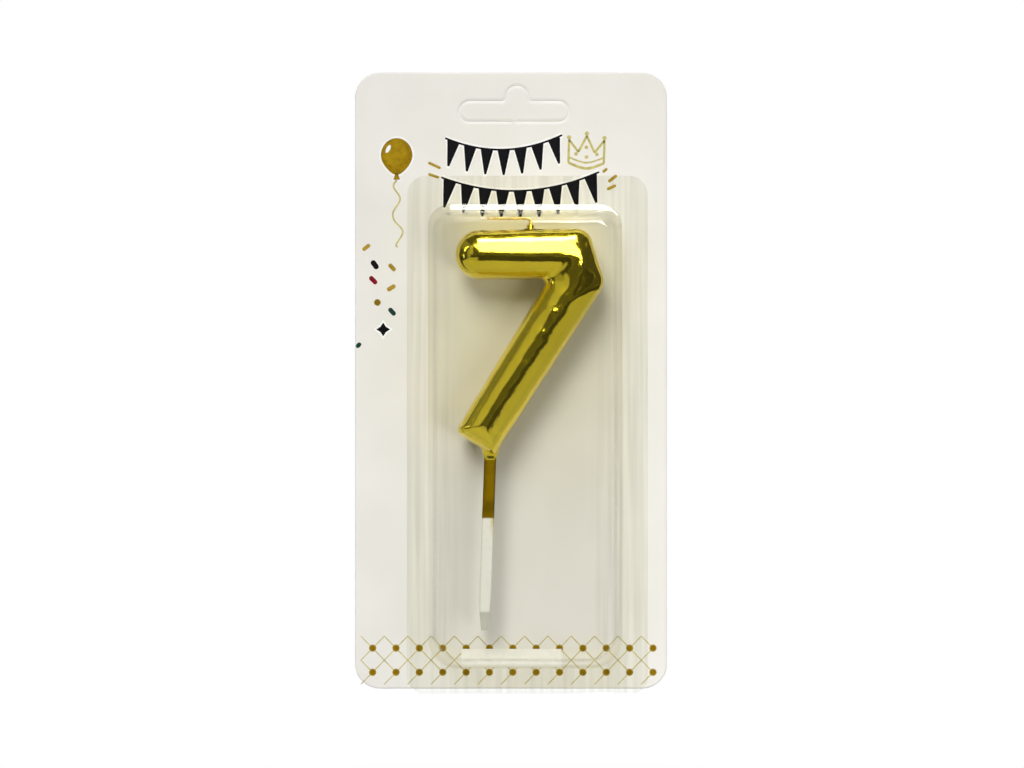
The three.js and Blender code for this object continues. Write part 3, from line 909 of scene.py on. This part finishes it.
def corner_ring(left, right, bottom, top, low_radius, high_radius, y, steps=14):
    """A rounded rectangle in the card's plane at depth y, in millimetres."""
    arcs = []
    for x, z, inward_x, inward_z, radius, first in (
        (right, bottom, -1, 1, low_radius, -90),
        (right, top, -1, -1, high_radius, 0),
        (left, top, 1, -1, high_radius, 90),
        (left, bottom, 1, 1, low_radius, 180),
    ):
        middle = Vector((x + inward_x * radius, y, z + inward_z * radius))
        turns = [math.radians(first + 90 * step / steps) for step in range(steps + 1)]
        arcs.append([middle + Vector((math.cos(turn), 0, math.sin(turn))) * radius for turn in turns])
    ring = []
    for i, pieces in enumerate((28, 12, 28, 12)):
        following = arcs[(i + 1) % 4][0]
        ring += arcs[i]
        ring += [arcs[i][-1].lerp(following, piece / pieces) for piece in range(1, pieces)]
    return ring


def wall_profile(steps=8):
    """The dome's outer profile from foot to face: inset, height over the flange, and normal."""
    sweep = math.pi / 2 - draft
    height = flange_front - dome_front
    radii = foot_radius + edge_radius
    wall = height - radii * (1 - math.sin(draft))
    lean = radii * math.cos(draft) + wall * math.tan(draft)
    profile = []
    for step in range(steps + 1):
        angle = sweep * step / steps
        profile.append((foot_radius * math.sin(angle), foot_radius * (1 - math.cos(angle)), angle))
    for step in range(steps + 1):
        angle = sweep * (1 - step / steps)
        inset = lean - edge_radius * math.sin(angle)
        profile.append((inset, height - edge_radius * (1 - math.cos(angle)), angle))
    return profile


def dome_ring(inset, height):
    """The dome's outline at a height over the flange, moved inward by the lean of its walls."""
    lean, tighter = inset * end_lean_ratio, inset * corner_lean_ratio
    return corner_ring(
        dome_left + inset, dome_right - inset, dome_bottom + lean, dome_top - lean,
        dome_low_radius - tighter, dome_high_radius - tighter, flange_front - height)


def shell_side(offset):
    """The rings of one side of the sheet, from the flange's edge to the middle of the face."""
    flange_y = min(flange_front + offset, sealed_at)
    rings = [corner_ring(flange_left, flange_right, flange_bottom, flange_top,
                         flange_low_radius, flange_high_radius, flange_y)]
    for inset, height, angle in wall_profile():
        ring = dome_ring(inset + offset * math.sin(angle), height - offset * math.cos(angle))
        for point in ring:
            point.y = min(point.y, sealed_at)
        rings.append(ring)
    face = rings[-1]
    middle = sum(face, Vector()) / len(face)
    for step in range(1, face_rings):
        share = 1 - step / face_rings
        rings.append([middle + (point - middle) * share for point in face])
    for ring in rings[-face_rings:]:
        for point in ring:
            wave = 0.8 + noise.noise(Vector((point.x * 0.11, 0, point.z * 0.035)))
            point.y += wave_depth * wave * min(1, (point - middle).length / calm_middle)
    return rings


face_rings, wave_depth, calm_middle = 9, 0.12, 12
mesh = bmesh.new()
rings = [*shell_side(sheet_wall)[::-1], *shell_side(0)]
capped(mesh, [[mesh.verts.new(point * MM) for point in ring] for ring in rings])
for face in mesh.faces:
    face.smooth = True
    middle = face.calc_center_median() / MM
    on_dome = dome_left < middle.x < dome_right and dome_bottom < middle.z < dome_top
    face.material_index = 0 if on_dome else 1


def change(tree, height, ends, to_low=0, to_high=1):
    """A value that changes between two heights in millimetres and holds above and below them."""
    return spread(tree, height, ends[0] * MM, ends[1] * MM, to_low, to_high)


# Each form of the sheet, and each painted tint on it, starts or ends softly, between two heights
painted_shadow_end, foot_wall_start, foot_wall_end = (-150.8, -150.2), (-150.2, -149.6), (-145, -144)
face_edge_start, face_edge_end, head_wall_start = (-37.4, -37), (-36.3, -35.8), (-34.4, -33.9)
painted_bounce_span = (-112, -62)


def clear_sheet(name, over_dome):
    """Clear tinted sheet that lets light through and mirrors more at a slant, with painted shade in its
    tint.
    """
    material, tree, shader = finish(name)
    tree.nodes.remove(shader)
    where = node(tree, "TexCoord").outputs["Object"]
    split = node(tree, "SeparateXYZ", Vector=where)
    right, height = split.outputs["X"], split.outputs["Z"]

    # Fine waves of the drawing run down the sheet and bump it; painted shade darkens the tint in
    # streaks along them, mostly beside the walls
    drawn = node(tree, "Mapping", Vector=where, Scale=(1, 0.3, 0.03)).outputs["Vector"]
    waves = grain(tree, drawn, 800, 2.0)
    dome_middle = (dome_left + dome_right) / 2 * MM
    off_middle = sum_of(tree, "ABSOLUTE", sum_of(tree, "SUBTRACT", right, dome_middle))
    by_wall = spread(tree, off_middle, 16 * MM, 21 * MM, 0.1, 1) if over_dome else 0.5
    # Higher up the dome's tint turns darker and yellower: painted shade and painted gold bounce light.
    tint_and_painted_bounce = between(tree, change(tree, height, painted_bounce_span), *tints_and_painted_bounce[name])
    painted_streak_shade = sum_of(tree, "MULTIPLY", spread(tree, waves, 0.3, 0.7, 0, 1), by_wall)
    tint_with_painted_shade = between(tree, painted_streak_shade, tint_and_painted_bounce, painted_streak_tint)

    # The foot wall gets a tint of its own, painted tone for the light and shade on it, and the band
    # below it is darker with painted shadow of the wall. The head wall and the right part of the face's
    # upper edge mirror the light.
    mirror = 0.005
    if over_dome:
        painted_foot_wall = sum_of(tree, "MULTIPLY", change(tree, height, foot_wall_start),
                      change(tree, height, foot_wall_end, 1, 0))
        tint_with_painted_shade = between(tree, painted_foot_wall, tint_with_painted_shade, foot_wall_painted_tint)
        painted_fold_shadow = change(tree, height, painted_shadow_end, 1, 0)
        tint_with_painted_shade = between(tree, painted_fold_shadow, tint_with_painted_shade, painted_shadow_tint)
        head_wall = change(tree, height, head_wall_start, 0, glint)
        face_edge = sum_of(tree, "MULTIPLY", change(tree, height, face_edge_start, 0, glint),
                           change(tree, height, face_edge_end, 1, 0))
        on_right = spread(tree, right, 3.5 * MM, 5.0 * MM, 0, 1)
        glints = sum_of(tree, "ADD", head_wall, sum_of(tree, "MULTIPLY", face_edge, on_right))
        mirror = sum_of(tree, "ADD", glints, mirror)

    bump = node(tree, "Bump", Height=waves, Distance=0.02 * MM, Strength=1.0).outputs["Normal"]
    slant = node(tree, "LayerWeight", Blend=0.5, Normal=bump).outputs["Facing"]
    share = sum_of(tree, "MULTIPLY_ADD", sum_of(tree, "POWER", slant, 5.0), 0.5, mirror, clamp=True)
    lit_through = sum_of(tree, "SUBTRACT", 1.0, node(tree, "LightPath").outputs["Is Shadow Ray"])
    share = sum_of(tree, "MULTIPLY", share, lit_through)
    through = node(tree, "BsdfTransparent", Color=tint_with_painted_shade).outputs[0]
    gloss = node(tree, "BsdfGlossy", Roughness=0.07, Normal=bump).outputs[0]
    mixed = node(tree, "MixShader", Fac=share)
    tree.links.new(through, mixed.inputs[1])
    tree.links.new(gloss, mixed.inputs[2])
    fill(tree, tree.nodes["Material Output"], Surface=mixed.outputs[0])
    return material


# Tints of one side of the sheet, low down and high up. The dome's tint high up is darker and yellower:
# painted shade and painted gold bounce light from the 7.
tints_and_painted_bounce = {
    "clear_dome": ((0.955, 0.953, 0.938, 1), (0.93, 0.924, 0.868, 1)),
    "clear_flange": ((0.988, 0.988, 0.972, 1), (0.988, 0.988, 0.972, 1)),
}
# Tints of painted shade for the streaks, the foot wall and the shadow band below it
painted_streak_tint, foot_wall_painted_tint = (0.9, 0.9, 0.875, 1), (0.945, 0.94, 0.9, 1)
painted_shadow_tint, glint = (0.925, 0.92, 0.88, 1), 0.05
sheets = [clear_sheet("clear_dome", True), clear_sheet("clear_flange", False)]
blister = show("clear_blister", mesh, sheets, "blister", "blister")
blister.data.set_sharp_from_angle(angle=math.radians(40))


# Stage: a white floor and white surroundings, one large soft lamp above and to the left with weak
# ones round the pack, and plain cards out of view that only the gold and the clear plastic mirror.
pack_middle = Vector((0, 0, -0.078))


def white_when_seen(tree):
    """1 for rays of sight, of gloss and through glass, and 0 for light that falls on things."""
    path = node(tree, "LightPath")
    seen = sum_of(tree, "MAXIMUM", path.outputs["Is Camera Ray"], path.outputs["Is Glossy Ray"])
    return sum_of(tree, "MAXIMUM", seen, path.outputs["Is Transmission Ray"])


world = bpy.data.worlds.new("white_room")
world.use_nodes = True
tree = world.node_tree
room_light = 0.04
light = spread(tree, white_when_seen(tree), 0, 1, room_light, 1)
fill(tree, tree.nodes["Background"], Color=(1, 1, 1, 1), Strength=light)
bpy.context.scene.world = world


def around(elevation, turn, distance):
    """A place some degrees above and to the right of the camera's line, seen from the pack."""
    up, right = math.radians(elevation), math.radians(turn)
    way = Vector((math.cos(up) * math.sin(right), -math.cos(up) * math.cos(right), math.sin(up)))
    return pack_middle + way * distance


def aimed(thing, place, roll=0.0):
    """Puts a flat thing at a place with its front towards the pack, rolled by some degrees."""
    facing = (place - pack_middle).to_track_quat("Z", "Y").to_matrix().to_4x4()
    flip = Matrix.Rotation(0 if thing.type == "LIGHT" else math.pi, 4, "Y")
    rolled = Matrix.Rotation(math.radians(roll), 4, "Z")
    thing.matrix_world = Matrix.Translation(place) @ facing @ rolled @ flip
    return thing


def flat_card(name, wide, high):
    """A rectangle of the stage."""
    mesh = bmesh.new()
    corners = ((-wide, -high), (wide, -high), (wide, high), (-wide, high))
    mesh.faces.new([mesh.verts.new((x / 2, y / 2, 0)) for x, y in corners])
    return from_mesh(name, mesh)


def only_mirrored(thing, light):
    """Gives a stage thing an even light of its own, and shows it in reflections alone."""
    material, tree, shader = finish(thing.name)
    tree.nodes.remove(shader)
    lit = node(tree, "Emission", Color=(1, 1, 1, 1), Strength=light)
    fill(tree, tree.nodes["Material Output"], Surface=lit.outputs[0])
    thing.data.materials.append(material)
    thing.visible_camera = False
    thing.visible_diffuse = False
    thing.visible_shadow = False
    thing.visible_transmission = False


# The floor is pale near the pack, where it keeps the shadow, and fades to white further off
floor_level = -0.215
floor = flat_card("floor", 60, 60)
floor.location = (0, 0, floor_level)
white_floor, tree, shader = finish("white_floor")
fill(tree, shader, Base_Color=(0.12, 0.12, 0.12, 1), Roughness=0.9, Specular_IOR_Level=0)
where = node(tree, "TexCoord").outputs["Object"]
away = node(tree, "VectorMath", operation="LENGTH", Vector=where).outputs["Value"]
far_off = spread(tree, away, 0.15, 0.32, 0.8, 1)
glow = node(tree, "Emission", Color=(1, 1, 1, 1), Strength=1.0).outputs[0]
lit_share = node(tree, "MixShader", Fac=sum_of(tree, "MULTIPLY", white_when_seen(tree), far_off))
tree.links.new(shader.outputs[0], lit_share.inputs[1])
tree.links.new(glow, lit_share.inputs[2])
fill(tree, tree.nodes["Material Output"], Surface=lit_share.outputs[0])
floor.data.materials.append(white_floor)

# A dim tent round it all is what the gold mirrors where there is no card
mesh = bmesh.new()
bmesh.ops.create_icosphere(mesh, subdivisions=3, radius=5)
only_mirrored(from_mesh("dark_tent", mesh), 0.1)


def laid_card(name, left, right, near, far, lift, light):
    """A card laid over the floor, from near to far in front of the pack."""
    card = flat_card(name, right - left, far - near)
    card.location = ((left + right) / 2, -(near + far) / 2, floor_level + lift)
    only_mirrored(card, light)


laid_card("dark_cloth_on_floor", -4, 4, -4, 4, 0.004, 0.06)
laid_card("card_below", -0.5, 0.5, -0.03, 0.3, 0.008, 0.72)
laid_card("card_low_left", -0.7, -0.07, 0.3, 0.65, 0.01, 0.6)
laid_card("card_low_right", 0.155, 0.42, -0.2, 0.5, 0.012, 0.6)


def hung_card(name, wide, high, place, light, roll=0.0):
    """A card that faces the pack from a place round it, rolled by some degrees."""
    only_mirrored(aimed(flat_card(name, wide, high), place, roll), light)


hung_card("card_above", 0.5, 0.5, around(65, 19, 1.05), 12.0)
hung_card("hot_strip_above", 0.44, 0.28, around(67, 19, 1.0), 27.0)
hung_card("card_above_camera", 0.5, 0.78, around(32, 10, 1.12), 11.0)
hung_card("card_high_left", 0.75, 0.6, around(21, -40, 1.15), 0.62, roll=-33)
hung_card("card_left", 0.4, 0.42, around(2, -50, 1.2), 0.45)
hung_card("card_far_left", 0.75, 0.7, around(31, -79, 1.15), 0.32, roll=-31)
hung_card("glint_left", 0.1, 0.2, around(20, -75, 1.0), 5.0)
hung_card("strip_left", 0.12, 0.3, around(-5, -80, 1.0), 2.5)


def soft_lamp(name, place, wide, high, power, mirrored=True):
    """A softbox that faces the pack."""
    lamp = bpy.data.lights.new(name, "AREA")
    lamp.shape = "RECTANGLE"
    lamp.size, lamp.size_y = wide, high
    lamp.energy = power
    holder = aimed(bpy.data.objects.new(name, lamp), place)
    bpy.context.scene.collection.objects.link(holder)
    holder.visible_glossy = mirrored


soft_lamp("softbox_above", around(40, -17, 5.0), 2.6, 2.6, 224)
soft_lamp("lamp_behind", around(10, 160, 3.0), 2.0, 0.8, 60)
soft_lamp("fill_right", around(-14, 36, 0.36), 0.22, 0.08, 0.5, mirrored=False)
soft_lamp("fill_left", around(-14, -38, 0.36), 0.22, 0.08, 0.12, mirrored=False)

scene = bpy.context.scene
scene.view_settings.view_transform = "Standard"
scene.cycles.transparent_max_bounces = 24
